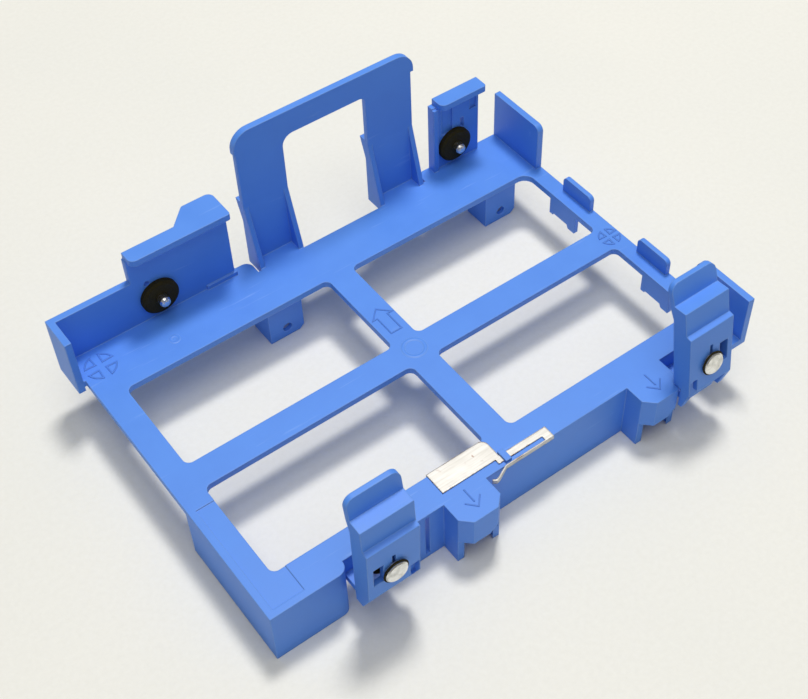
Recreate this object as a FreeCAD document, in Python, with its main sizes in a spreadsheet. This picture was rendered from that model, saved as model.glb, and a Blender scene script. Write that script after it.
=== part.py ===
import FreeCAD, Part
import os
import re
import Sketcher

# Hot swap drive caddy: an open moulded frame for a 3.5 inch drive, with four drive pins in
# rubber grommets and a spring ground clip.
# The modelling frame has x = 0 midway between the drive pins, y = 0 at the middle of the
# drive bay and z = 0 on top of the plate. The last step moves each piece to the part's own
# origin, at the middle of the underside.

SIZES = [
    # Interface to the drive
    ("pin_pitch", 101.6),
    ("pin_height", 7.3),
    ("bay_width", 102.5),
    # Moulding
    ("wall", 2.0),
    ("plate_thick", 2.0),
    ("stand_height", 18.6),
    ("left_reach", 79.6),
    ("right_reach", 70.2),
    ("front_setback", 3.85),
    # Four windows in the plate
    ("right_rail", 5.2),
    ("back_rail", 19.96),
    ("centre_bar", 8.2),
    ("cross_bar", 8.55),
    ("left_rail", 7.3),
    ("front_rail", 9.34),
    ("window_corner", 2.0),
    # Back left walls
    ("low_wall_height", 15.8),
    ("low_wall_drop", 3.6),
    ("end_return", 11.0),
    ("end_offset", 2.6),
    ("tall_wall_height", 24.0),
    ("tall_wall_start", 58.0),
    ("tall_wall_length", 30.7),
    ("flange_thick", 2.0),
    ("flange_lip", 3.05),
    ("flange_ear", 5.55),
    ("flange_ear_length", 9.2),
    ("flange_corner", 2.0),
    ("gauge_hole", 1.8),
    # Back right upright
    ("upright_start", 43.0),
    ("upright_width", 17.2),
    ("upright_rib", 1.6),
    ("slot_width", 1.3),
    ("slot_low", 11.4),
    ("slot_high", 15.5),
    ("slot_foot", 1.5),
    ("recess_depth", 0.6),
    # Right end walls, guide tabs and down clips
    ("end_wall_height", 16.0),
    ("end_wall_length", 20.5),
    ("front_end_length", 19.3),
    ("front_end_over", 2.45),
    ("tab_height", 5.3),
    ("tab_length", 12.0),
    ("tab_thick", 1.5),
    ("tab_back", 8.8),
    ("tab_front", 23.6),
    ("clip_drop", 5.0),
    ("clip_foot", 1.2),
    ("clip_length", 11.2),
    ("clip_thick", 1.5),
    ("clip_back", 10.8),
    ("clip_front", 29.6),
    # Screw brackets under the back rail
    ("bracket_setback", 4.1),
    ("bracket_width", 11.4),
    ("bracket_left", 26.1),
    ("bracket_right", 52.7),
    ("bracket_depth", 9.0),
    ("bracket_wall", 1.5),
    ("bracket_hole", 3.0),
    ("bracket_hole_up", 3.5),
    # Handle
    ("handle_left", 20.4),
    ("handle_right", 37.4),
    ("handle_height", 45.8),
    ("handle_thick", 1.5),
    ("handle_gap", 0.25),
    ("handle_bend", 20.0),
    ("handle_lean", 1.1),
    ("leg_width", 14.6),
    ("leg_base_thick", 2.6),
    ("grip_width", 7.8),
    ("grip_rim", 2.0),
    ("grip_drop", 6.8),
    ("grip_over", 0.3),
    ("grip_over_right", 1.0),
    ("grip_corner", 5.5),
    ("grip_inner_corner", 3.5),
    ("gusset_depth", 4.0),
    ("gusset_thick", 1.5),
    ("barb_reach", 2.4),
    ("barb_top", 21.3),
    ("barb_fall", 7.0),
    ("slit_width", 1.1),
    ("slit_depth", 5.25),
    ("right_slit_depth", 4.2),
    ("notch_depth", 5.0),
    # Front wall, corner skirt and latch blocks
    ("corner_step", 1.0),
    ("skirt_past", 1.2),
    ("skirt_curl", 2.8),
    ("corner_recess", 0.25),
    ("wall_slit", 1.3),
    ("skirt_side_length", 38.9),
    ("block_width", 13.3),
    ("block_depth", 8.7),
    ("block_chamfer", 2.9),
    ("block_skirt", 9.6),
    ("block_wall", 1.5),
    ("block_left", 28.0),
    ("block_right", 32.7),
    # Spring arms that carry the front drive pins
    ("arm_width", 15.0),
    ("arm_gap", 1.25),
    ("arm_leaf", 1.6),
    ("arm_depth", 6.3),
    ("arm_wall", 1.6),
    ("arm_drop", 6.5),
    ("arm_face_low", 0.5),
    ("arm_shelf_low", 19.0),
    ("arm_shelf_high", 26.6),
    ("arm_top", 33.0),
    ("arm_tab_in", 2.3),
    ("arm_tab_thick", 1.5),
    ("arm_tab_corner", 2.5),
    ("arm_lean", 9.5),
    ("arm_pivot", 8.5),
    ("root_inset", 1.5),
    ("notch_side", 1.2),
    # Grommets and pins
    ("grommet_flange_r", 5.6),
    ("grommet_outer_r", 4.5),
    ("grommet_neck_r", 3.2),
    ("grommet_flange", 1.8),
    ("grommet_collar", 1.3),
    ("fit_gap", 0.05),
    ("pin_r", 1.6),
    ("pin_shank_r", 1.5),
    ("pin_tip_span", 93.5),
    ("pin_tip_round", 0.9),
    ("pin_head_r", 3.2),
    ("pin_head_thick", 1.3),
    # Ground clip
    ("ground_sheet", 0.4),
    ("ground_length", 18.3),
    ("ground_end_gap", 0.15),
    ("ground_width", 6.6),
    ("strip_width", 2.1),
    ("strip_length", 15.1),
    ("bridge_width", 1.8),
    ("finger_height", 1.3),
    ("finger_bulge", 2.4),
]

doc = FreeCAD.newDocument("DriveCaddy")
sheet = doc.addObject("Spreadsheet::Sheet", "Sizes")
for row, (alias, value) in enumerate(SIZES, 1):
    sheet.set("A%d" % row, alias)
    sheet.set("B%d" % row, str(value))
    sheet.setAlias("B%d" % row, alias)
doc.recompute()
NAMES = [alias for alias, value in SIZES]


def bound(text):
    """Point each size named in an expression at its cell."""
    return re.sub(r"[A-Za-z_]+", lambda m: ("Sizes." if m.group(0) in NAMES else "") + m.group(0), text)


def read(text):
    """The present value of an expression, in millimetres or degrees."""
    value = sheet.evalExpression(bound(text))
    return float(getattr(value, "Value", value))


def tie(item, prop, text):
    item.setExpression(prop, bound(text))


def box(name, x, y, z):
    """A box between pairs of expressions along each axis."""
    item = doc.addObject("Part::Box", name)
    for prop, axis, (low, high) in (("Length", "x", x), ("Width", "y", y), ("Height", "z", z)):
        tie(item, prop, "(%s) - (%s)" % (high, low))
        tie(item, "Placement.Base." + axis, low)
    return item


def round_edges(item, picks):
    """Fillet the edges of an item that pass through the picked points."""
    doc.recompute()
    edges = []
    for point, radius in picks:
        for number, edge in enumerate(item.Shape.Edges, 1):
            if edge.distToShape(Part.Vertex(point))[0] < 0.0001:
                edges.append((number, radius, radius))
    soft = doc.addObject("Part::Fillet", item.Name + "Soft")
    soft.Base = item
    soft.Edges = edges
    return soft


PLANES = {
    "XY": (FreeCAD.Rotation(), "z", 1.0),
    "XZ": (FreeCAD.Rotation(FreeCAD.Vector(1, 0, 0), 90), "y", -1.0),
    "YZ": (FreeCAD.Rotation(FreeCAD.Vector(1, 1, 1), 120), "x", 1.0),
}


def prism(name, plane, points, span):
    """A sketched outline drawn on a plane and pushed between two expressions.

    A point may carry a third expression, the radius of its corner.
    """
    turn, axis, way = PLANES[plane]
    low, high = span
    sketch = doc.addObject("Sketcher::SketchObject", name + "Outline")
    spots = [FreeCAD.Vector(read(p[0]), read(p[1]), 0) for p in points]
    count = len(spots)
    for i in range(count):
        sketch.addGeometry(Part.LineSegment(spots[i], spots[(i + 1) % count]), False)
    for i in range(count):
        sketch.addConstraint(Sketcher.Constraint("Coincident", i, 2, (i + 1) % count, 1))
    for i, point in enumerate(points):
        ways = (("DistanceX", spots[i].x, point[0]), ("DistanceY", spots[i].y, point[1]))
        for kind, place, text in ways:
            number = sketch.addConstraint(Sketcher.Constraint(kind, -1, 1, i, 1, place))
            tie(sketch, "Constraints[%d]" % number, text)
    sketch.Placement = FreeCAD.Placement(FreeCAD.Vector(), turn)
    tie(sketch, "Placement.Base." + axis, low)
    solid = doc.addObject("Part::Extrusion", name)
    solid.Base = sketch
    solid.DirMode = "Normal"
    solid.Solid = True
    solid.Reversed = way < 0
    tie(solid, "LengthFwd", "(%s) - (%s)" % (high, low))
    picks = []
    middle = read("((%s) + (%s)) / 2" % (low, high))
    for spot, point in zip(spots, points):
        if len(point) == 3:
            across = turn.multVec(spot)
            picks.append((across + turn.multVec(FreeCAD.Vector(0, 0, way * middle)), read(point[2])))
    return round_edges(solid, picks) if picks else solid


def bore(name, x, y, z, radius):
    """A cylinder along y between two expressions, for a hole or a rod."""
    item = doc.addObject("Part::Cylinder", name)
    item.Placement = FreeCAD.Placement(FreeCAD.Vector(), FreeCAD.Rotation(FreeCAD.Vector(1, 0, 0), -90))
    tie(item, "Radius", radius)
    tie(item, "Height", "(%s) - (%s)" % (y[1], y[0]))
    tie(item, "Placement.Base.x", x)
    tie(item, "Placement.Base.y", y[0])
    tie(item, "Placement.Base.z", z)
    return item


def fuse(name, items):
    joined = doc.addObject("Part::MultiFuse", name)
    joined.Shapes = items
    joined.Refine = True
    return joined


def cut(name, base, tools):
    """Take tools away from a base."""
    result = doc.addObject("Part::Cut", name)
    result.Base = base
    result.Tool = tools[0] if len(tools) == 1 else fuse(name + "Tools", tools)
    result.Refine = True
    return result


# Lines that several features share
LEFT = "-left_reach"
RIGHT = "right_reach"
BACK_IN = "bay_width / 2"
BACK_OUT = "bay_width / 2 + wall"
FRONT_OUT = "-bay_width / 2 + front_setback"
FRONT_IN = FRONT_OUT + " + wall"
UNDER = "-plate_thick"
FLOOR = "-stand_height"
CORNER_OUT = FRONT_OUT + " - corner_step"
CORNER_IN = CORNER_OUT + " + wall"
END_OUT = "-left_reach - end_offset"
END_NEAR = BACK_OUT + " - end_return"
FRONT_END = "-bay_width / 2 - front_end_over"
WINDOW_LONG = "(left_reach + right_reach - left_rail - centre_bar - right_rail) / 2"
WINDOW_WIDE = "(bay_width + wall - front_setback - front_rail - cross_bar - back_rail) / 2"
WINDOW_LEFT = "-left_reach + left_rail"
WINDOW_FRONT = FRONT_OUT + " + front_rail"
BAR_LEFT = WINDOW_LEFT + " + " + WINDOW_LONG
HANDLE_FRONT = BACK_OUT + " + handle_gap"
HANDLE_BACK = HANDLE_FRONT + " + handle_thick"
LEG_LEFT_IN = "-handle_left + leg_width"
LEG_RIGHT_IN = "handle_right - leg_width - 1.2"
ARM_LEFT = "-pin_pitch / 2 - arm_width / 2"
ARM_LEFT_END = "-pin_pitch / 2 + arm_width / 2"
ARM_RIGHT_END = "pin_pitch / 2 + arm_width / 2"
SKIRT_END = ARM_LEFT + " + skirt_past"
LEFT_NOTCH = ARM_LEFT_END + " + notch_side"
BLOCK_END = "block_right + block_width"
RIGHT_NOTCH = ARM_RIGHT_END + " + 2.6"

# Plate with its four windows. Two slits free the handle's legs and a notch parts them.
# The rail steps back behind each spring arm.
plate = prism("Plate", "XY", [
    (LEFT, CORNER_OUT),
    (SKIRT_END, CORNER_OUT, "skirt_curl"),
    (SKIRT_END, FRONT_IN),
    (LEFT_NOTCH, FRONT_IN),
    (LEFT_NOTCH, FRONT_OUT),
    (BLOCK_END, FRONT_OUT),
    (BLOCK_END, FRONT_IN),
    (RIGHT_NOTCH, FRONT_IN, "1.5"),
    (RIGHT_NOTCH, FRONT_END),
    (RIGHT, FRONT_END),
    (RIGHT, BACK_OUT),
    ("handle_right + slit_width", BACK_OUT, "2"),
    ("handle_right + slit_width", BACK_OUT + " - right_slit_depth"),
    ("handle_right", BACK_OUT + " - right_slit_depth"),
    ("handle_right", HANDLE_BACK),
    (LEG_RIGHT_IN, HANDLE_BACK),
    (LEG_RIGHT_IN, BACK_OUT + " - notch_depth"),
    (LEG_LEFT_IN, BACK_OUT + " - notch_depth"),
    (LEG_LEFT_IN, HANDLE_BACK),
    ("-handle_left", HANDLE_BACK),
    ("-handle_left", BACK_OUT + " - slit_depth"),
    ("-handle_left - slit_width", BACK_OUT + " - slit_depth"),
    ("-handle_left - slit_width", BACK_OUT, "2.5"),
    (END_OUT, BACK_OUT),
    (END_OUT, END_NEAR),
    (LEFT, END_NEAR),
], (UNDER, "0"))

windows = []
for column in (0, 1):
    for line in (0, 1):
        x_low = "%s + %d * (%s + centre_bar)" % (WINDOW_LEFT, column, WINDOW_LONG)
        y_low = "%s + %d * (%s + cross_bar)" % (WINDOW_FRONT, line, WINDOW_WIDE)
        x_high = x_low + " + " + WINDOW_LONG
        y_high = y_low + " + " + WINDOW_WIDE
        far = "1.75 * window_corner" if column and line else "window_corner"
        windows.append(prism("Window%d%d" % (column, line), "XY", [
            (x_low, y_low, "window_corner"),
            (x_high, y_low, "window_corner"),
            (x_high, y_high, far),
            (x_low, y_high, "window_corner"),
        ], (UNDER + " - 1", "1")))

# Back left: low wall, its end wall, and the tall wall with a lipped top flange
low_wall = box("LowWall", (END_OUT, "-tall_wall_start"), (BACK_IN, BACK_OUT),
               ("-low_wall_drop", "low_wall_height"))
end_left = box("EndLeft", (END_OUT, END_OUT + " + wall"), (END_NEAR, BACK_OUT),
               ("-low_wall_drop", "low_wall_height"))
end_left_gap = box("EndLeftGap", (END_OUT, LEFT + " + 0.2"), (END_NEAR, BACK_OUT), (UNDER, "0"))
tall_end = "-tall_wall_start + tall_wall_length"
tall_wall = box("TallWall", ("-tall_wall_start", tall_end), (BACK_IN, BACK_OUT), (UNDER, "tall_wall_height"))
tall_step = box("TallStep", (tall_end + " - 9.2", tall_end + " + 0.6"), (BACK_IN + " - 0.6", BACK_OUT),
                (UNDER, "1.4"))
flange_left = prism("FlangeLeft", "XY", [
    ("-tall_wall_start + 0.4", BACK_IN + " - flange_lip", "flange_corner"),
    (tall_end + " + 0.3", BACK_IN + " - flange_lip", "0.8"),
    (tall_end + " + 0.3", BACK_OUT + " + flange_ear", "flange_corner"),
    (tall_end + " - flange_ear_length + 0.3", BACK_OUT + " + flange_ear", "1.2"),
    (tall_end + " - flange_ear_length - flange_ear + 0.3", BACK_OUT),
    ("-tall_wall_start + 0.4", BACK_OUT),
], ("tall_wall_height", "tall_wall_height + flange_thick"))
gauge = bore("GaugeHole", "-tall_wall_start + 4.6", (BACK_IN + " - 1", BACK_OUT + " + 1"), "13.1",
             "gauge_hole / 2")

# Back right: upright with a rib, a lipped flange, a hooked slot and two shallow recesses
up_end = "upright_start + upright_width"
upright = box("Upright", ("upright_start", up_end), (BACK_IN, BACK_OUT), (UNDER, "tall_wall_height"))
up_rib = box("UprightRib", ("upright_start", "upright_start + upright_rib"), (BACK_IN + " - 1", BACK_OUT),
             (UNDER, "tall_wall_height - 0.4"))
flange_right = prism("FlangeRight", "XY", [
    ("upright_start + upright_rib - 0.1", BACK_IN + " - flange_lip", "flange_corner"),
    (up_end + " + 0.6", BACK_IN + " - flange_lip", "0.8"),
    (up_end + " + 0.6", BACK_OUT),
    ("upright_start + upright_rib - 0.1", BACK_OUT),
], ("tall_wall_height", "tall_wall_height + flange_thick"))
slot_x = "upright_start + 11.1"
slot = box("Slot", (slot_x + " - slot_width / 2", slot_x + " + slot_width / 2"),
           (BACK_IN + " - 1", BACK_OUT + " + 1"), ("slot_low", "slot_high"))
slot_toe = box("SlotToe", (slot_x + " - slot_width / 2 - slot_foot", slot_x),
               (BACK_IN + " - 1", BACK_OUT + " + 1"), ("slot_low", "slot_low + slot_width"))
recess_a = box("RecessA", ("upright_start + 3.5", "upright_start + 7.5"),
               (BACK_IN + " - 1", BACK_IN + " + recess_depth"),
               ("tall_wall_height - 12", "tall_wall_height - 1"))
recess_b = box("RecessB", ("upright_start + 14.0", "upright_start + 16.4"),
               (BACK_IN + " - 1", BACK_IN + " + recess_depth"),
               ("tall_wall_height - 7", "tall_wall_height - 1"))

# Right end walls, guide tabs above the rail and hook clips below it
end_right = prism("EndRight", "YZ", [
    (BACK_OUT, UNDER),
    (BACK_OUT, "end_wall_height"),
    (BACK_OUT + " - end_wall_length", "end_wall_height", "2"),
    (BACK_OUT + " - end_wall_length", UNDER),
], ("right_reach - wall", RIGHT))
end_front = prism("EndFront", "YZ", [
    (FRONT_END + " + front_end_length", UNDER),
    (FRONT_END + " + front_end_length", "end_wall_height - 0.7", "2.5"),
    (FRONT_END, "end_wall_height - 0.7"),
    (FRONT_END, UNDER),
], ("right_reach - wall", RIGHT))
tabs = []
for name, start in (("TabBack", "tab_back"), ("TabFront", "-tab_front")):
    tabs.append(prism(name, "YZ", [
        (start, UNDER),
        (start, "tab_height", "1.5"),
        (start + " + tab_length", "tab_height", "1.5"),
        (start + " + tab_length", UNDER),
    ], ("right_reach - tab_thick", RIGHT)))
for name, start in (("ClipBack", "clip_back"), ("ClipFront", "-clip_front")):
    edge = "right_reach - right_rail"
    tabs.append(prism(name, "YZ", [
        (start, UNDER + " + 0.5"),
        (start, UNDER + " - clip_drop - clip_foot"),
        (start + " + 2.8", UNDER + " - clip_drop - clip_foot"),
        (start + " + 3.4", UNDER + " - clip_drop"),
        (start + " + clip_length - 1.5", UNDER + " - clip_drop"),
        (start + " + clip_length - 1.5", UNDER + " - clip_drop - clip_foot * 0.6"),
        (start + " + clip_length", UNDER + " - clip_drop - clip_foot * 0.6"),
        (start + " + clip_length", UNDER + " + 0.5"),
    ], (edge, edge + " + clip_thick")))

# Two open-backed screw brackets stand on the floor under the back rail
brackets = []
bracket_holes = []
bracket_face = BACK_OUT + " - back_rail + bracket_setback"
for name, start in (("BracketLeft", "-bracket_left"), ("BracketRight", "bracket_right")):
    outer = prism(name, "XZ", [
        (start, UNDER),
        (start, FLOOR),
        (start + " + bracket_width - 1.5", FLOOR),
        (start + " + bracket_width", FLOOR + " + 1.5"),
        (start + " + bracket_width", UNDER),
    ], (bracket_face, bracket_face + " + bracket_depth"))
    hollow = box(name + "Hollow", (start + " + bracket_wall", start + " + bracket_width - bracket_wall"),
                 (bracket_face + " + bracket_wall", bracket_face + " + bracket_depth + 1"),
                 (FLOOR + " - 1", UNDER))
    brackets.append(cut(name + "Shell", outer, [hollow]))
    bracket_holes.append(bore(name + "Bore", start + " + bracket_width / 2 + 0.2",
                              (bracket_face + " - 1", bracket_face + " + bracket_wall + 1"),
                              FLOOR + " + bracket_hole_up", "bracket_hole / 2"))

# Handle: a bent sheet with a thicker, rounded grip on two ribbed, barbed legs
sheet_panel = prism("HandleSheet", "XZ", [
    ("-handle_left", UNDER),
    ("-handle_left", "handle_height", "grip_corner"),
    ("handle_right", "handle_height", "grip_corner"),
    ("handle_right", UNDER),
], (HANDLE_FRONT, HANDLE_BACK))
hand_hole = prism("HandHole", "XZ", [
    (LEG_LEFT_IN, UNDER + " - 1"),
    (LEG_LEFT_IN, "handle_height - grip_width", "grip_inner_corner"),
    (LEG_RIGHT_IN, "handle_height - grip_width", "grip_inner_corner - 1.5"),
    (LEG_RIGHT_IN, UNDER + " - 1"),
], (HANDLE_FRONT + " - 12", HANDLE_FRONT + " + 12"))
grip = prism("Grip", "XZ", [
    ("-handle_left - grip_over", "handle_height - grip_drop"),
    ("-handle_left - grip_over", "handle_height", "grip_corner"),
    ("handle_right + grip_over_right", "handle_height", "grip_corner"),
    ("handle_right + grip_over_right", "handle_height - grip_drop"),
], (HANDLE_FRONT, HANDLE_FRONT + " + grip_rim"))
legs = []
for name, low, high in (("LegLeft", "-handle_left", LEG_LEFT_IN),
                        ("LegRight", LEG_RIGHT_IN, "handle_right")):
    legs.append(prism(name, "YZ", [
        (HANDLE_FRONT + " - handle_lean", UNDER),
        (HANDLE_FRONT, "handle_bend"),
        (HANDLE_BACK, "handle_bend + 0.5"),
        (HANDLE_FRONT + " - handle_lean + leg_base_thick", "handle_bend - 3"),
        (HANDLE_FRONT + " - handle_lean + leg_base_thick", UNDER),
    ], (low, high)))
    legs.append(prism(name + "Barb", "YZ", [
        (HANDLE_FRONT + " + 0.4", "barb_top - barb_fall"),
        (HANDLE_BACK, "barb_top - barb_fall"),
        (HANDLE_BACK + " + barb_reach", "barb_top"),
        (HANDLE_FRONT + " + 0.4", "barb_top"),
    ], (low, high)))
    for side, start in (("In", low), ("Out", "(%s) - gusset_thick" % high)):
        legs.append(prism(name + "Gusset" + side, "YZ", [
            (HANDLE_FRONT + " + 0.6", "handle_bend"),
            (HANDLE_FRONT, "handle_bend"),
            (HANDLE_FRONT + " - handle_lean - gusset_depth", "0"),
            (HANDLE_FRONT + " - handle_lean - gusset_depth", UNDER),
            (HANDLE_FRONT + " + 0.6", UNDER),
        ], (start, "(%s) + gusset_thick" % start)))

# Front left corner skirt, curled in at its end, and the long front wall that the caddy stands on
skirt_side = box("SkirtSide", (LEFT, LEFT + " + wall"), (CORNER_OUT, CORNER_OUT + " + skirt_side_length"),
                 (FLOOR, "0"))
skirt_front = prism("SkirtFront", "XY", [
    (LEFT, CORNER_OUT),
    (SKIRT_END, CORNER_OUT, "skirt_curl"),
    (SKIRT_END, FRONT_IN),
    (SKIRT_END + " - wall", FRONT_IN),
    (SKIRT_END + " - wall", CORNER_IN, "skirt_curl - wall"),
    (LEFT, CORNER_IN),
], (FLOOR, "0"))
corner_low = box("CornerRecess", (LEFT + " + wall", LEFT + " + 11"),
                 (CORNER_IN, CORNER_OUT + " + skirt_side_length - wall"), ("-corner_recess", "1"))
front_wall = box("FrontWall", (LEFT_NOTCH, BLOCK_END + " - block_wall"), (FRONT_OUT, FRONT_IN), (FLOOR, "0"))
wall_slit = box("WallSlit", ("-block_left - 4.5 - wall_slit", "-block_left - 4.5"),
                (FRONT_OUT + " - 1", FRONT_IN + " + 1"), (FLOOR + " + 1.6", "-1"))
lips = [
    box("LipLeft", (SKIRT_END + " - wall", LEFT_NOTCH + " + wall"), (FRONT_IN, FRONT_IN + " + wall"),
        ("-arm_drop - 1.5", "0")),
    box("LipMiddle", (LEFT_NOTCH, BLOCK_END), (FRONT_OUT, FRONT_IN), ("-arm_drop - 1.5", "0")),
    box("LipRight", (BLOCK_END + " - wall", RIGHT_NOTCH), (FRONT_IN, FRONT_IN + " + wall"),
        ("-arm_drop - 1.5", "0")),
]

# Hollow latch blocks in front of the front wall, open below
NOSE = FRONT_OUT + " - block_depth"
blocks = []
for name, start in (("BlockLeft", "-block_left"), ("BlockRight", "block_right")):
    end = start + " + block_width"
    outer = prism(name, "XY", [
        (start, FRONT_IN),
        (start, NOSE + " + block_chamfer"),
        (start + " + block_chamfer", NOSE),
        (end + " - block_chamfer", NOSE),
        (end, NOSE + " + block_chamfer"),
        (end, FRONT_IN),
    ], (FLOOR, "0"))
    inner = prism(name + "Inner", "XY", [
        (start + " + block_wall", FRONT_OUT),
        (start + " + block_wall", NOSE + " + block_chamfer + 0.6"),
        (start + " + block_chamfer + 0.6", NOSE + " + block_wall"),
        (end + " - block_chamfer - 0.6", NOSE + " + block_wall"),
        (end + " - block_wall", NOSE + " + block_chamfer + 0.6"),
        (end + " - block_wall", FRONT_OUT),
    ], (FLOOR + " - 1", UNDER))
    under = box(name + "Under", (start + " - 1", end + " + 1"), (NOSE + " - 1", NOSE + " + block_chamfer"),
                (FLOOR + " - 1", "-block_skirt"))
    nick = prism(name + "Nick", "XZ", [
        (end + " - block_chamfer - 2.4", "-block_skirt - 0.1"),
        (end + " - block_chamfer + 0.4", "-block_skirt + 2.6"),
        (end + " - block_chamfer + 0.4", "-block_skirt - 0.1"),
    ], (NOSE + " - 1", NOSE + " + block_wall + 0.5"))
    blocks.append(cut(name + "Shell", outer, [inner, under, nick]))

# Spring arms: a leaf with an inward tab, boxed in front by a face plate with windows
ARM_IN = "-bay_width / 2 - arm_gap"
ARM_FACE = ARM_IN + " - arm_depth"


def lean_arm(item, rest_y, rest_z):
    """Lean an item about the arm's pivot line. Its own origin rests at the point given."""
    item.Placement = FreeCAD.Placement(
        FreeCAD.Vector(), FreeCAD.Rotation(FreeCAD.Vector(-1, 0, 0), read("arm_lean")))
    tie(item, "Placement.Rotation.Angle", "arm_lean")
    up = "((%s) - arm_pivot)" % rest_z
    out = "((%s) - (%s))" % (rest_y, ARM_IN)
    leant_y = "%s + %s * cos(arm_lean * 1 deg) + %s * sin(arm_lean * 1 deg)" % (ARM_IN, out, up)
    leant_z = "arm_pivot - %s * sin(arm_lean * 1 deg) + %s * cos(arm_lean * 1 deg)" % (out, up)
    return leant_y, leant_z


def spring_arm(name, side):
    """One arm about its drive pin, hollow and open below, with its two face windows."""
    middle = "%d * pin_pitch / 2" % side
    low = middle + " - arm_width / 2"
    high = middle + " + arm_width / 2"
    body = prism(name, "YZ", [
        (ARM_IN, "-arm_drop"),
        (ARM_IN + " - 2.8", "-arm_drop"),
        (ARM_FACE + " + 0.5", "-arm_face_low"),
        (ARM_FACE, "arm_shelf_low"),
        (ARM_FACE + " + 1.6", "arm_shelf_low + 0.5"),
        (ARM_FACE + " + 2.0", "arm_shelf_high"),
        (ARM_IN + " + 1.2 - arm_tab_thick", "arm_shelf_high + 0.3"),
        (ARM_IN + " + arm_tab_in - arm_tab_thick", "arm_top"),
        (ARM_IN + " + arm_tab_in", "arm_top"),
        (ARM_IN + " + 1.2", "arm_shelf_high - 0.6"),
        (ARM_IN, "arm_shelf_high - 4.2"),
    ], (low, high))
    tab_y = read(ARM_IN + " + arm_tab_in - arm_tab_thick / 2")
    body = round_edges(body, [
        (FreeCAD.Vector(read(low), tab_y, read("arm_top")), read("arm_tab_corner")),
        (FreeCAD.Vector(read(high), tab_y, read("arm_top")), read("arm_tab_corner")),
    ])
    hollow = prism(name + "Hollow", "YZ", [
        (ARM_IN + " - arm_leaf", "-arm_drop - 1"),
        (ARM_IN + " - arm_leaf", "arm_shelf_low - arm_wall"),
        (ARM_FACE + " + arm_wall + 0.1", "arm_shelf_low - arm_wall"),
        (ARM_FACE + " + arm_wall + 0.5", "-arm_face_low"),
        (ARM_FACE + " - 1", "-arm_face_low"),
        (ARM_FACE + " - 1", "-arm_drop - 1"),
    ], (low + " + arm_wall", high + " - arm_wall"))
    face = (ARM_FACE + " - 1", ARM_FACE + " + arm_wall + 1.2")
    cuts = [hollow]
    for label, near, far, rise in (("High", 3.0, 5.9, ("5", "12")), ("Low", -7.3, -4.6, ("-3", "4"))):
        ends = sorted((side * near, side * far))
        span = tuple("%s + %s" % (middle, end) for end in ends)
        cuts.append(box(name + label + "Window", span, face, rise))
    cuts.append(box(name + "FaceSlot", (middle + " - 0.5", middle + " + 0.5"), face,
                    ("pin_height", "pin_height + 6")))
    cuts.append(bore(name + "FaceBore", middle, (ARM_FACE + " - 1", ARM_FACE + " + arm_wall + 1.5"),
                     "pin_height", "pin_shank_r + fit_gap"))
    cuts.append(bore(name + "LeafBore", middle, (ARM_IN + " - arm_leaf - 0.5", ARM_IN + " + 1"),
                     "pin_height", "grommet_neck_r + fit_gap"))
    return cut(name + "Box", body, cuts)


arm_left = spring_arm("ArmLeft", -1)
arm_right = spring_arm("ArmRight", 1)
leant_y, leant_z = lean_arm(arm_right, "0", "0")
tie(arm_right, "Placement.Base.y", leant_y)
tie(arm_right, "Placement.Base.z", leant_z)
arm_relief = box("ArmRelief", (BLOCK_END + " - block_width", BLOCK_END + " + 0.5"),
                 (NOSE + " - 0.4", FRONT_IN), ("-arm_drop - 4", "0.5"))
arm_clear = cut("ArmRightClear", arm_right, [arm_relief])
root_left = box("RootLeft", (ARM_LEFT + " + root_inset", ARM_LEFT_END + " - root_inset"),
                (ARM_IN + " - arm_leaf", FRONT_IN + " + wall"), ("-arm_drop - 1.5", "-arm_drop + 0.6"))
root_y = "%s - (arm_drop + arm_pivot) * sin(arm_lean * 1 deg) - arm_leaf * 0.6" % ARM_IN
root_right = box("RootRight", (BLOCK_END + " + 0.5", ARM_RIGHT_END + " - root_inset"),
                 (root_y, FRONT_IN + " + wall"), ("-arm_drop - 1.5", "-arm_drop + 0.8"))

# A small moulded bridge holds down the ground clip's tongue
CLIP_RIGHT = BAR_LEFT + " - ground_end_gap"
CLIP_LEFT = CLIP_RIGHT + " - ground_length"
CLIP_REAR = WINDOW_FRONT
STRIP_END = CLIP_RIGHT + " + strip_length"
strip_y = (CLIP_REAR + " - ground_width - 1.5", CLIP_REAR + " - ground_width - 1.5 + strip_width")
bridge = box("Bridge", (CLIP_RIGHT + " + 0.1", CLIP_RIGHT + " + 0.1 + bridge_width"),
             (strip_y[0] + " - 0.8", strip_y[1] + " + 0.8"), ("-0.5", "ground_sheet + fit_gap + 0.6"))
tunnel = box("Tunnel", (CLIP_RIGHT + " - 1", CLIP_RIGHT + " + 1.1 + bridge_width"),
             (strip_y[0] + " - fit_gap", strip_y[1] + " + fit_gap"), ("0", "ground_sheet + fit_gap"))

plate_open = cut("PlateOpen", plate, windows)
hand_sheet = cut("HandleOpen", sheet_panel, [hand_hole])
grip_open = cut("GripOpen", grip, [hand_hole])
rear_bores = []
for name, side in (("RearBoreLeft", -1), ("RearBoreRight", 1)):
    rear_bores.append(bore(name, "%d * pin_pitch / 2" % side, (BACK_IN + " - 1.5", BACK_OUT + " + 1"),
                           "pin_height", "grommet_neck_r + fit_gap"))
solid = fuse("FrameSolid", [
    plate_open, low_wall, end_left, end_left_gap, tall_wall, tall_step, flange_left, upright, up_rib,
    flange_right, end_right, end_front, hand_sheet, grip_open, skirt_side, skirt_front, front_wall,
    arm_left, arm_clear, root_left, root_right, bridge,
] + tabs + brackets + legs + blocks + lips)
frame = cut("CaddyFrame", solid, [
    gauge, slot, slot_toe, recess_a, recess_b, tunnel, corner_low, wall_slit,
] + bracket_holes + rear_bores)
frame.Label = "caddy_frame"

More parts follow.
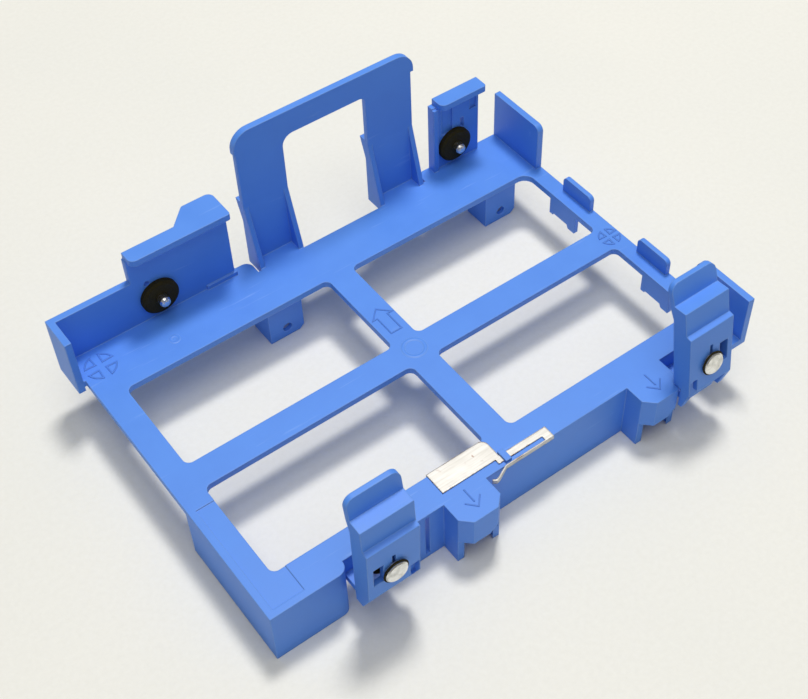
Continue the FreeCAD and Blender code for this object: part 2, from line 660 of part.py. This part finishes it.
# The part's origin is the middle of the underside
HEAD_OUT = "arm_depth - 0.15 + pin_head_thick"
FRONT_MOST = ("%s + (pin_height - arm_pivot) * sin(arm_lean * 1 deg) - (%s) * cos(arm_lean * 1 deg)"
              " - (pin_head_r - 0.3) * sin(arm_lean * 1 deg)" % (ARM_IN, HEAD_OUT))
SHIFT = {
    "x": "(left_reach + end_offset - right_reach) / 2",
    "y": "-((%s) + (%s + flange_ear)) / 2" % (FRONT_MOST, BACK_OUT),
    "z": "stand_height",
}


def place(item, x, y, z):
    for axis, text in (("x", x), ("y", y), ("z", z)):
        tie(item, "Placement.Base." + axis, "(%s) + (%s)" % (text, SHIFT[axis]))


place(frame, "0", "0", "0")


def turned(name, label, points):
    """A turned piece: a half profile revolved about the sketch's upright axis."""
    body = doc.addObject("PartDesign::Body", name)
    body.Label = label
    sketch = body.newObject("Sketcher::SketchObject", name + "Profile")
    plane = [o for o in body.Origin.OriginFeatures if o.Role == "XY_Plane"][0]
    sketch.AttachmentSupport = [(plane, "")]
    sketch.MapMode = "FlatFace"
    spots = [FreeCAD.Vector(read(p[0]), read(p[1]), 0) for p in points]
    count = len(spots)
    for i in range(count):
        sketch.addGeometry(Part.LineSegment(spots[i], spots[(i + 1) % count]), False)
    for i in range(count):
        sketch.addConstraint(Sketcher.Constraint("Coincident", i, 2, (i + 1) % count, 1))
    for i, point in enumerate(points):
        ways = (("DistanceX", spots[i].x, point[0]), ("DistanceY", spots[i].y, point[1]))
        for kind, spot, text in ways:
            number = sketch.addConstraint(Sketcher.Constraint(kind, -1, 1, i, 1, spot))
            tie(sketch, "Constraints[%d]" % number, text)
    doc.recompute()
    turn = body.newObject("PartDesign::Revolution", name + "Turn")
    turn.Profile = sketch
    turn.ReferenceAxis = (sketch, ["V_Axis"])
    turn.Angle = 360
    body.Tip = turn
    doc.recompute()
    return body


def grommet(name, label, through):
    """A rubber grommet: wide flange inside the bay, neck through the wall, small flange behind."""
    hole = "pin_shank_r + fit_gap"
    return turned(name, label, [
        (hole, "-(%s) - grommet_collar" % through),
        ("grommet_outer_r", "-(%s) - grommet_collar" % through),
        ("grommet_outer_r", "-(%s)" % through),
        ("grommet_neck_r", "-(%s)" % through),
        ("grommet_neck_r", "0"),
        ("grommet_flange_r", "0"),
        ("grommet_flange_r", "grommet_flange * 0.7"),
        ("grommet_flange_r - 0.8", "grommet_flange"),
        (hole, "grommet_flange"),
    ])


def drive_pin(name, label, tip, head):
    """A headed drive pin: a slim shank in the grommet and a thicker free end with a rounded tip."""
    return turned(name, label, [
        ("0", "-(%s) - pin_head_thick" % head),
        ("pin_head_r - 0.3", "-(%s) - pin_head_thick" % head),
        ("pin_head_r", "-(%s) - pin_head_thick + 0.3" % head),
        ("pin_head_r", "-(%s)" % head),
        ("pin_shank_r", "-(%s)" % head),
        ("pin_shank_r", "grommet_flange + 0.1"),
        ("pin_r", "grommet_flange + 0.1"),
        ("pin_r", "(%s) - pin_tip_round" % tip),
        ("pin_r - pin_tip_round * 0.29", "(%s) - pin_tip_round * 0.29" % tip),
        ("pin_r - pin_tip_round", tip),
        ("0", tip),
    ])


REAR_TIP = "(bay_width - pin_tip_span) / 2"
FRONT_TIP = "(bay_width - pin_tip_span) / 2 + arm_gap"
pieces = [frame]
for side, word in ((-1, "left"), (1, "right")):
    middle = "%d * pin_pitch / 2" % side
    rear_set = [
        grommet("RearGrommet" + word.title(), "rear_grommet_" + word, "wall"),
        drive_pin("RearPin" + word.title(), "rear_pin_" + word, REAR_TIP, "wall + grommet_collar"),
    ]
    for item in rear_set:
        item.Placement = FreeCAD.Placement(FreeCAD.Vector(), FreeCAD.Rotation(FreeCAD.Vector(0, 0, 1), 180))
        place(item, middle, BACK_IN, "pin_height")
    front_set = [
        grommet("FrontGrommet" + word.title(), "front_grommet_" + word, "arm_leaf"),
        drive_pin("FrontPin" + word.title(), "front_pin_" + word, FRONT_TIP, "arm_depth - 0.15"),
    ]
    for item in front_set:
        y, z = ARM_IN, "pin_height"
        if side == 1:
            y, z = lean_arm(item, ARM_IN, "pin_height")
        place(item, middle, y, z)
    pieces += rear_set + front_set

# Ground clip: one folded strip of thin sheet with a bowed contact finger
top = prism("ClipTop", "XY", [
    (CLIP_LEFT, CLIP_REAR + " - ground_width"),
    (CLIP_RIGHT, CLIP_REAR + " - ground_width"),
    (CLIP_RIGHT, CLIP_REAR + " + ground_sheet", "2"),
    (CLIP_LEFT, CLIP_REAR + " + ground_sheet"),
], ("0", "ground_sheet"))
fold = box("ClipFold", (CLIP_LEFT, CLIP_RIGHT + " - 2"), (CLIP_REAR, CLIP_REAR + " + ground_sheet"),
           ("-plate_thick - ground_sheet", "ground_sheet"))
tuck = box("ClipTuck", (CLIP_LEFT, CLIP_RIGHT + " - 2"), (CLIP_REAR + " - 3", CLIP_REAR + " + ground_sheet"),
           ("-plate_thick - ground_sheet", "-plate_thick"))
neck = box("ClipNeck", (CLIP_RIGHT + " - 1.6", CLIP_RIGHT),
           (strip_y[0], CLIP_REAR + " - ground_width + 0.5"), ("0", "ground_sheet"))
strip = box("ClipStrip", (CLIP_RIGHT + " - 1.6", STRIP_END), strip_y, ("0", "ground_sheet"))
FINGER_IN = FRONT_OUT + " - fit_gap"
FINGER_OUT = FINGER_IN + " - ground_sheet"
turn_over = box("ClipTurn", (STRIP_END + " - 2.6", STRIP_END), (FINGER_OUT, strip_y[1]),
                ("0", "ground_sheet"))
finger = prism("ClipFinger", "XY", [
    (STRIP_END, FINGER_OUT),
    (STRIP_END, FINGER_IN),
    (CLIP_RIGHT + " - 0.5", FINGER_IN),
    (CLIP_RIGHT + " - 4.0", FINGER_IN + " - finger_bulge * 0.7"),
    (CLIP_RIGHT + " - 5.1", FINGER_IN + " - finger_bulge * 0.84"),
    (CLIP_RIGHT + " - 5.9", FINGER_IN + " - finger_bulge * 0.6"),
    (CLIP_RIGHT + " - 6.2", FINGER_OUT + " - finger_bulge * 0.6"),
    (CLIP_RIGHT + " - 5.1", FINGER_OUT + " - finger_bulge * 0.9"),
    (CLIP_RIGHT + " - 3.9", FINGER_OUT + " - finger_bulge * 0.75"),
    (CLIP_RIGHT + " - 0.4", FINGER_OUT),
], ("ground_sheet - finger_height", "ground_sheet"))
clip = fuse("GroundClip", [top, fold, tuck, neck, strip, turn_over, finger])
clip.Label = "ground_clip"
place(clip, "0", "0", "0")
pieces.append(clip)

doc.recompute()
faults = []
for item in doc.Objects:
    if "Invalid" in item.State or "Error" in item.State:
        faults.append(item.Name + " " + "/".join(item.State))
for item in pieces:
    if item.Shape.isNull() or not item.Shape.isValid():
        faults.append(item.Label + " has no valid shape")
if faults:
    raise RuntimeError("; ".join(faults))
os.makedirs("parts", exist_ok=True)
for item in pieces:
    item.Shape.exportStep("parts/" + item.Label + ".step")
    b = item.Shape.BoundBox
    print("%-20s solids %d  volume %9.2f" % (item.Label, len(item.Shape.Solids), item.Shape.Volume), end="")
    print("  x %.2f..%.2f y %.2f..%.2f z %.2f..%.2f" % (b.XMin, b.XMax, b.YMin, b.YMax, b.ZMin, b.ZMax))
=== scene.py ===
import math

import bmesh
import bpy
from mathutils import Matrix, Vector


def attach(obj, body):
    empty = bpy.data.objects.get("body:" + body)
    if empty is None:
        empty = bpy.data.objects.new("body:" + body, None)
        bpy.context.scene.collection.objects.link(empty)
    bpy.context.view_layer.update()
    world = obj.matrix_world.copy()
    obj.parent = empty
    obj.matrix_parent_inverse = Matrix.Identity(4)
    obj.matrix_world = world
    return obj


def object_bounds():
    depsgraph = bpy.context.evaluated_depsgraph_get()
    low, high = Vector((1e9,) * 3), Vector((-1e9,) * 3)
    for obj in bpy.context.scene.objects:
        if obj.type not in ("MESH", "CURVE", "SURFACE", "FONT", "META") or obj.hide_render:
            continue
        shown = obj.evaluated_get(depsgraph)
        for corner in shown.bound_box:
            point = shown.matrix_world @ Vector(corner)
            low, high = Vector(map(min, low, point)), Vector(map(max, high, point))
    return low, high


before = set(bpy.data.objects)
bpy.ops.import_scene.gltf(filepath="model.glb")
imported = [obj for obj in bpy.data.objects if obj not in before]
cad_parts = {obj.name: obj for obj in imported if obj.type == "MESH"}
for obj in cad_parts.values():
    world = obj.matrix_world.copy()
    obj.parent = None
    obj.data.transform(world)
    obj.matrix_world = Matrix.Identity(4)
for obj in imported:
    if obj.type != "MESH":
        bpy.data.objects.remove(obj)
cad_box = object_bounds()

scene = bpy.context.scene
scene.view_settings.view_transform = "Standard"
MM = 0.001


# Camera
# A short portrait lens looks down on the caddy from beyond its front left
# corner. The lens is shifted a little off the middle of the picture.
picture_width = 808
picture_height = 699
focal_px = 1402.4
optical_middle = (433.8, 348.6)
sensor_width = 36
camera_place = Vector((-138.7, -203.238, 307.1)) * MM
azimuth = math.radians(-36.18)
elevation = math.radians(49.52)
roll = math.radians(-1.13)
camera_back = Vector((
    math.sin(azimuth) * math.cos(elevation),
    -math.cos(azimuth) * math.cos(elevation),
    math.sin(elevation),
))
level_right = Vector((math.cos(azimuth), math.sin(azimuth), 0))
level_up = camera_back.cross(level_right)
camera_right = level_right * math.cos(roll) + level_up * math.sin(roll)
camera_up = camera_back.cross(camera_right)

camera_data = bpy.data.cameras.new("camera")
camera_data.sensor_width = sensor_width
camera_data.lens = sensor_width * focal_px / picture_width
camera_data.shift_x = (picture_width / 2 - optical_middle[0]) / picture_width
camera_data.shift_y = (optical_middle[1] - picture_height / 2) / picture_width
camera_data.clip_start = 0.01
camera = bpy.data.objects.new("camera", camera_data)
camera.matrix_world = Matrix((
    (camera_right.x, camera_up.x, camera_back.x, camera_place.x),
    (camera_right.y, camera_up.y, camera_back.y, camera_place.y),
    (camera_right.z, camera_up.z, camera_back.z, camera_place.z),
    (0, 0, 0, 1),
))
scene.collection.objects.link(camera)
scene.camera = camera


# Floor
# A large sheet of white background paper with the faint tooth of uncoated
# stock. It isn't part of the caddy.
def colour(text):
    """A linear colour from an sRGB hex value."""
    parts = [int(text[at:at + 2], 16) / 255 for at in (1, 3, 5)]
    linear = [c / 12.92 if c <= 0.04045 else ((c + 0.055) / 1.055) ** 2.4 for c in parts]
    return (*linear, 1.0)


def add(tree, kind, values=None, links=None):
    """A node with its settings and socket values set and its inputs linked."""
    node = tree.nodes.new("ShaderNode" + kind)
    for key, value in (values or {}).items():
        if isinstance(key, str) and key.islower():
            setattr(node, key, value)
        else:
            node.inputs[key].default_value = value
    for key, source in (links or {}).items():
        tree.links.new(source, node.inputs[key])
    return node


def new_material(name):
    """An empty node material and its tree."""
    material = bpy.data.materials.new(name)
    material.use_nodes = True
    material.node_tree.nodes.clear()
    return material, material.node_tree


def blend(tree, factor, first, second):
    """The colour output of a Mix node between two colours or links."""
    values = {"data_type": "RGBA"}
    links = {0: factor}
    for index, item in ((6, first), (7, second)):
        if hasattr(item, "links"):
            links[index] = item
        else:
            values[index] = item
    return add(tree, "Mix", values, links).outputs[2]


def ramp(tree, source, low, high, low_out=0.0, high_out=1.0):
    """A clamped straight map of a value."""
    values = {1: low, 2: high, 3: low_out, 4: high_out, "clamp": True}
    return add(tree, "MapRange", values, {0: source}).outputs[0]


floor_half_side = 2.5
floor_gap = 0.00005
floor_mesh = bpy.data.meshes.new("floor")
floor_form = bmesh.new()
bmesh.ops.create_grid(floor_form, x_segments=1, y_segments=1, size=floor_half_side)
bmesh.ops.translate(floor_form, verts=floor_form.verts, vec=(0, 0, cad_box[0][2] - floor_gap))
floor_form.to_mesh(floor_mesh)
floor_form.free()
floor = bpy.data.objects.new("floor", floor_mesh)
scene.collection.objects.link(floor)

paper, tree = new_material("background_paper")
place = add(tree, "TexCoord").outputs["Object"]
fibres = add(tree, "TexNoise", {"Scale": 650, "Detail": 5, "Roughness": 0.65}, {"Vector": place})
clouds = add(tree, "TexNoise", {"Scale": 9, "Detail": 2}, {"Vector": place})
paper_tone = blend(
    tree,
    ramp(tree, clouds.outputs[0], 0.3, 0.7),
    colour("#E9EAE7"),
    colour("#E5E7E5"),
)
paper_tone = blend(
    tree,
    ramp(tree, fibres.outputs[0], 0.35, 0.68, 0.0, 0.22),
    paper_tone,
    colour("#D6D7D4"),
)
paper_bump = add(
    tree,
    "Bump",
    {"Strength": 0.25, "Distance": 0.0002},
    {"Height": fibres.outputs[0]},
)
paper_shader = add(
    tree,
    "BsdfPrincipled",
    {"Roughness": 0.9, "Specular IOR Level": 0.2},
    {"Base Color": paper_tone, "Normal": paper_bump.outputs[0]},
)
add(tree, "OutputMaterial", links={"Surface": paper_shader.outputs[0]})
floor_mesh.materials.append(paper)


# Light
# A soft lamp stands high behind the right end, as the shadows toward the front
# left show. A second one overhead and the white room fill the rest.
lamp_target = Vector((0, 0, 0.02))


def lamp(name, place, size, power, tint):
    """A square area lamp that faces the middle of the caddy."""
    data = bpy.data.lights.new(name, "AREA")
    data.size = size
    data.energy = power
    data.color = colour(tint)[:3]
    item = bpy.data.objects.new(name, data)
    item.location = place
    item.rotation_euler = (lamp_target - Vector(place)).to_track_quat("-Z", "Y").to_euler()
    scene.collection.objects.link(item)


lamp("soft_box", (0.27, 0.24, 1.36), 0.26, 12.3, "#FFFBF4")
lamp("top_box", (-0.15, -0.35, 1.36), 0.9, 6.3, "#FFFDF8")
room = bpy.data.worlds.new("white_room")
room.use_nodes = True
room.node_tree.nodes["Background"].inputs["Color"].default_value = colour("#FBF8F0")
room.node_tree.nodes["Background"].inputs["Strength"].default_value = 0.27
scene.world = room


# Moulded frame
# One injection moulding in blue ABS, with a fine spark-eroded texture from
# the tool. It gives a satin look. Its sharp edges are painted paler, a painted
# highlight where light catches them, and pale scuff streaks are real wear.
def abs_material(name, base, deep, scuff_and_highlight):
    """ABS with a fine tool texture, flow clouds, scuffs and a painted highlight on its edges."""
    material, tree = new_material(name)
    place = add(tree, "TexCoord").outputs["Object"]
    # The grain is drawn at 0.25 mm, coarser than a real tool texture, so that it shows.
    grain = add(tree, "TexNoise", {"Scale": 4000, "Detail": 2}, {"Vector": place})
    cloud = add(tree, "TexNoise", {"Scale": 55, "Detail": 4, "Roughness": 0.6}, {"Vector": place})
    long_way = add(tree, "Mapping", {"Scale": (60, 900, 400)}, {"Vector": place})
    scuff = add(tree, "TexNoise", {"Scale": 1, "Detail": 3}, {"Vector": long_way.outputs[0]})
    # Edges are found where a rounded normal leaves the flat one.
    rounded = add(tree, "Bevel", {"samples": 6, "Radius": 0.00045})
    flat = add(tree, "NewGeometry").outputs["True Normal"]
    agree = add(
        tree,
        "VectorMath",
        {"operation": "DOT_PRODUCT"},
        {0: rounded.outputs[0], 1: flat},
    )
    edge = ramp(tree, agree.outputs["Value"], 0.985, 0.86, 0.0, 0.55)
    tone = blend(tree, ramp(tree, cloud.outputs[0], 0.3, 0.7), colour(deep), colour(base))
    tone = blend(tree, ramp(tree, scuff.outputs[0], 0.66, 0.8, 0.0, 0.3), tone, colour(scuff_and_highlight))
    # Every edge is blended toward the pale colour: a painted highlight where light catches the
    # edges.
    tone = blend(tree, edge, tone, colour(scuff_and_highlight))
    bump = add(
        tree,
        "Bump",
        {"Strength": 0.12, "Distance": 0.00006},
        {"Height": grain.outputs[0], "Normal": rounded.outputs[0]},
    )
    gloss = ramp(tree, cloud.outputs[0], 0.3, 0.75, 0.46, 0.58)
    shader = add(
        tree,
        "BsdfPrincipled",
        {"IOR": 1.53},
        {"Base Color": tone, "Roughness": gloss, "Normal": bump.outputs[0]},
    )
    add(tree, "OutputMaterial", links={"Surface": shader.outputs[0]})
    return material


def dress(node, material):
    """Gives a CAD node its material."""
    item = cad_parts[node]
    for at in item.material_slots:
        at.material = material
    if not item.material_slots:
        item.data.materials.append(material)


moulded_abs = abs_material("moulded_abs", "#4F8CEC", "#4885E6", "#8DB9FB")
dress("caddy_frame", moulded_abs)


# Moulded marks
# Shallow symbols that the tool leaves in the top faces: two crossed circles,
# an outlined arrow on the centre bar, an arrow on each block and faint rings.
# The strokes are coloured a darker blue than the plate: painted shade. The
# faint rings keep the plate's own finish.
plate_top = 18.6
drive_middle = Vector((6.0, 0.862))
ridge_height = 0.12
symbol_width = 0.5
arrow_width = 0.42
plate_finish = 1
marks = bmesh.new()


def ridge(points, width, closed=False):
    """A low flat-topped ridge with mitred corners, in mm from the drive's middle."""
    bluntest = 0.4
    path = [Vector(p) + drive_middle for p in points]
    count = len(path)
    rails = []
    for at, here in enumerate(path):
        ways = []
        if closed or at > 0:
            ways.append((here - path[at - 1]).normalized())
        if closed or at < count - 1:
            ways.append((path[(at + 1) % count] - here).normalized())
        along = sum(ways, Vector((0, 0))).normalized()
        across = Vector((-along.y, along.x))
        reach = width / 2 / max(bluntest, along.dot(ways[0]))
        rails.append([
            marks.verts.new((*(here + across * way * reach) * MM, plate_top * MM))
            for way in (-1, 1)
        ])
    following = rails[1:] + (rails[:1] if closed else [])
    faces = [marks.faces.new((a[0], b[0], b[1], a[1])) for a, b in zip(rails, following)]
    grown = bmesh.ops.extrude_face_region(marks, geom=faces)
    top = [v for v in grown["geom"] if isinstance(v, bmesh.types.BMVert)]
    bmesh.ops.translate(marks, verts=top, vec=(0, 0, ridge_height * MM))


def around(middle, radius, degrees):
    """The point at an angle round a middle."""
    turn = math.radians(degrees)
    return (middle[0] + radius * math.cos(turn), middle[1] + radius * math.sin(turn))


def crossed_circle(middle, radius):
    """Four wedges of a circle, as round a screw symbol."""
    half_gap = 17
    steps = 5
    inner_share = 0.36
    for start in (0, 90, 180, 270):
        first = start + half_gap
        rim = [
            around(middle, radius, first + (90 - 2 * half_gap) * n / steps)
            for n in range(steps + 1)
        ]
        inner = around(middle, radius * inner_share, start + 45)
        ridge(rim + [inner], symbol_width, closed=True)


def faint_ring(middle, radius, width, height):
    """A full round swelling with sloping sides, as pale as the plate."""
    centre = Vector(middle) + drive_middle
    known = set(marks.faces)
    # The slopes run on below the plate's top, so that they meet it without a line.
    underside = -1
    corners = [
        marks.verts.new(((centre.x + radius + out) * MM, centre.y * MM, (plate_top + up) * MM))
        for out, up in ((-width, -height), (0, height), (width, -height), (0, underside))
    ]
    sides = [marks.edges.new((corners[at - 1], corners[at])) for at in range(4)]
    bmesh.ops.spin(
        marks,
        geom=corners + sides,
        cent=(centre.x * MM, centre.y * MM, plate_top * MM),
        axis=(0, 0, 1),
        angle=math.tau,
        steps=32,
        use_merge=True,
    )
    for face in set(marks.faces) - known:
        face.material_index = plate_finish
        face.smooth = True


def fix_order(form):
    """Sorts edges and faces by their corners, as Blender makes them in no fixed order."""
    form.verts.index_update()
    count = len(form.verts)

    def rank(part):
        place = 0
        for index in sorted(vert.index for vert in part.verts):
            place = place * count + index
        return place

    form.edges.sort(key=rank)
    form.faces.sort(key=rank)


crossed_circle((-73.9, 44.4), 4.3)
crossed_circle((66.6, -2.4), 3.1)
arrow = [
    (-3.5, 15.9), (-6.7, 12.7), (-5.2, 12.7), (-5.2, 6.1),
    (-1.8, 6.1), (-1.8, 12.7), (-0.3, 12.7),
]
ridge(arrow, arrow_width, closed=True)
faint_ring((-3.3, -1.8), 3.1, 1.3, 0.06)
faint_ring((-53.2, 40.6), 1.2, 0.95, 0.04)
block_half = 6.7
barb = 2.4
for block_start in (-28.0, 32.7):
    middle = block_start + block_half
    ridge([(middle, -46.8), (middle, -51.2)], arrow_width)
    ridge([(middle - barb, -50.3), (middle, -52.9), (middle + barb, -50.3)], arrow_width)

bmesh.ops.recalc_face_normals(marks, faces=marks.faces)
fix_order(marks)
marks_mesh = bpy.data.meshes.new("moulded_marks")
marks.to_mesh(marks_mesh)
marks.free()
moulded_marks = bpy.data.objects.new("moulded_marks", marks_mesh)
scene.collection.objects.link(moulded_marks)
# A darker copy of the ABS for the strokes: painted shade, not a different plastic.
shaded_mark_abs = abs_material("shaded_mark_abs", "#427CDE", "#3E77D9", "#6BA0F4")
marks_mesh.materials.append(shaded_mark_abs)
marks_mesh.materials.append(moulded_abs)
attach(moulded_marks, "root")


# Rubber grommets
# Soft black nitrile bushes pushed through the walls. Moulded rubber is dull,
# brownish where it has aged, and holds grey dust in its pores.
rubber, tree = new_material("aged_nitrile_rubber")
place = add(tree, "TexCoord").outputs["Object"]
pores = add(tree, "TexNoise", {"Scale": 2600, "Detail": 3}, {"Vector": place})
dust = add(tree, "TexNoise", {"Scale": 420, "Detail": 6, "Roughness": 0.7}, {"Vector": place})
rubber_tone = blend(
    tree,
    ramp(tree, pores.outputs[0], 0.35, 0.65),
    colour("#211C02"),
    colour("#2E2806"),
)
rubber_tone = blend(
    tree,
    ramp(tree, dust.outputs[0], 0.6, 0.8, 0.0, 0.25),
    rubber_tone,
    colour("#56512F"),
)
rubber_bump = add(
    tree,
    "Bump",
    {"Strength": 0.3, "Distance": 0.00008},
    {"Height": pores.outputs[0]},
)
rubber_shader = add(
    tree,
    "BsdfPrincipled",
    {"IOR": 1.52, "Roughness": 0.75, "Specular IOR Level": 0.22},
    {"Base Color": rubber_tone, "Normal": rubber_bump.outputs[0]},
)
add(tree, "OutputMaterial", links={"Surface": rubber_shader.outputs[0]})
for node in (
    "rear_grommet_left",
    "rear_grommet_right",
    "front_grommet_left",
    "front_grommet_right",
):
    dress(node, rubber)


# Head shade rings
# A thin ring of the same black rubber round each front pin's head. It stands
# for the dark outline of contact shade there, so the dark ring against the
# steel is painted shade.
shade_ring_form = bmesh.new()
ring_tube_radius = 0.24
ring_radius = 3.38
for middle, lean in (
    (Vector((-44.8, -58.35, 25.9)), 0.0),
    (Vector((56.8, -58.45, 27.02)), 9.5),
):
    ring_section = bmesh.ops.create_circle(
        shade_ring_form,
        segments=10,
        radius=ring_tube_radius * MM,
        matrix=Matrix.Translation((ring_radius * MM, 0, 0)),
    )
    edges = dict.fromkeys(edge for vert in ring_section["verts"] for edge in vert.link_edges)
    bmesh.ops.spin(
        shade_ring_form,
        geom=ring_section["verts"] + list(edges),
        cent=(0, 0, 0),
        axis=(0, 1, 0),
        angle=math.tau,
        steps=36,
        use_merge=True,
    )
    bmesh.ops.transform(
        shade_ring_form,
        matrix=Matrix.Translation(middle * MM) @ Matrix.Rotation(math.radians(-lean), 4, "X"),
        verts=[vert for vert in shade_ring_form.verts if not vert.tag],
    )
    # The tag keeps a finished ring where it is when the next one is moved.
    for vert in shade_ring_form.verts:
        vert.tag = True
bmesh.ops.remove_doubles(shade_ring_form, verts=shade_ring_form.verts, dist=1e-6)
bmesh.ops.recalc_face_normals(shade_ring_form, faces=shade_ring_form.faces)
fix_order(shade_ring_form)
shade_ring_mesh = bpy.data.meshes.new("head_shade_rings")
shade_ring_form.to_mesh(shade_ring_mesh)
shade_ring_form.free()
head_shade_rings = bpy.data.objects.new("head_shade_rings", shade_ring_mesh)
scene.collection.objects.link(head_shade_rings)
shade_ring_mesh.materials.append(rubber)
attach(head_shade_rings, "root")


# Drive pins
# Turned steel pins with a thin bright nickel plate. The lathe leaves rings on
# the heads, and handling leaves small dull patches.
nickel, tree = new_material("nickel_plated_steel")
place = add(tree, "TexCoord").outputs["Object"]
turned = add(
    tree,
    "TexNoise",
    {"Scale": 1, "Detail": 2},
    {"Vector": add(tree, "Mapping", {"Scale": (900, 4200, 900)}, {"Vector": place}).outputs[0]},
)
patches = add(tree, "TexNoise", {"Scale": 700, "Detail": 4}, {"Vector": place})
nickel_tone = blend(
    tree,
    ramp(tree, patches.outputs[0], 0.4, 0.7),
    colour("#E9E9E6"),
    colour("#C4C4C0"),
)
nickel_bump = add(
    tree,
    "Bump",
    {"Strength": 0.15, "Distance": 0.00005},
    {"Height": turned.outputs[0]},
)
nickel_shader = add(
    tree,
    "BsdfPrincipled",
    {"Metallic": 1.0},
    {
        "Base Color": nickel_tone,
        "Roughness": ramp(tree, patches.outputs[0], 0.35, 0.7, 0.18, 0.38),
        "Normal": nickel_bump.outputs[0],
    },
)
add(tree, "OutputMaterial", links={"Surface": nickel_shader.outputs[0]})
for node in ("rear_pin_left", "rear_pin_right", "front_pin_left", "front_pin_right"):
    dress(node, nickel)


# Ground clip
# Thin spring steel strip, stamped, folded over the rail and tin plated. Tin
# looks white and soft, with rubbed streaks and rust where the cut edges show.
tin, tree = new_material("tin_plated_strip")
place = add(tree, "TexCoord").outputs["Object"]
streaks = add(
    tree,
    "TexNoise",
    {"Scale": 1, "Detail": 4},
    {"Vector": add(tree, "Mapping", {"Scale": (120, 1500, 900)}, {"Vector": place}).outputs[0]},
)
blotches = add(tree, "TexNoise", {"Scale": 260, "Detail": 5, "Roughness": 0.7}, {"Vector": place})
rounded = add(tree, "Bevel", {"samples": 6, "Radius": 0.0005})
flat = add(tree, "NewGeometry").outputs["True Normal"]
agree = add(tree, "VectorMath", {"operation": "DOT_PRODUCT"}, {0: rounded.outputs[0], 1: flat})
cut_edge = ramp(tree, agree.outputs["Value"], 0.99, 0.9)
rust_spots = add(
    tree,
    "Math",
    {"operation": "MULTIPLY"},
    {0: cut_edge, 1: ramp(tree, blotches.outputs[0], 0.52, 0.62)},
)
tin_tone = blend(
    tree,
    ramp(tree, streaks.outputs[0], 0.35, 0.65),
    colour("#D4D4D3"),
    colour("#C2C1BE"),
)
specks = add(tree, "TexNoise", {"Scale": 700, "Detail": 2}, {"Vector": place})
stain = add(tree, "TexNoise", {"Scale": 160, "Detail": 2}, {"Vector": place})
freckles = add(
    tree,
    "Math",
    {"operation": "MULTIPLY"},
    {
        0: ramp(tree, specks.outputs[0], 0.63, 0.7),
        1: ramp(tree, stain.outputs[0], 0.5, 0.6, 0.0, 0.75),
    },
)
tin_tone = blend(tree, freckles.outputs[0], tin_tone, colour("#8A6048"))
tin_tone = blend(tree, rust_spots.outputs[0], tin_tone, colour("#7A4524"))
tin_bump = add(
    tree,
    "Bump",
    {"Strength": 0.12, "Distance": 0.00005},
    {"Height": streaks.outputs[0], "Normal": rounded.outputs[0]},
)
tin_shader = add(
    tree,
    "BsdfPrincipled",
    {"Metallic": 0.5},
    {
        "Base Color": tin_tone,
        "Roughness": ramp(tree, blotches.outputs[0], 0.3, 0.7, 0.34, 0.55),
        "Normal": tin_bump.outputs[0],
    },
)
add(tree, "OutputMaterial", links={"Surface": tin_shader.outputs[0]})
dress("ground_clip", tin)
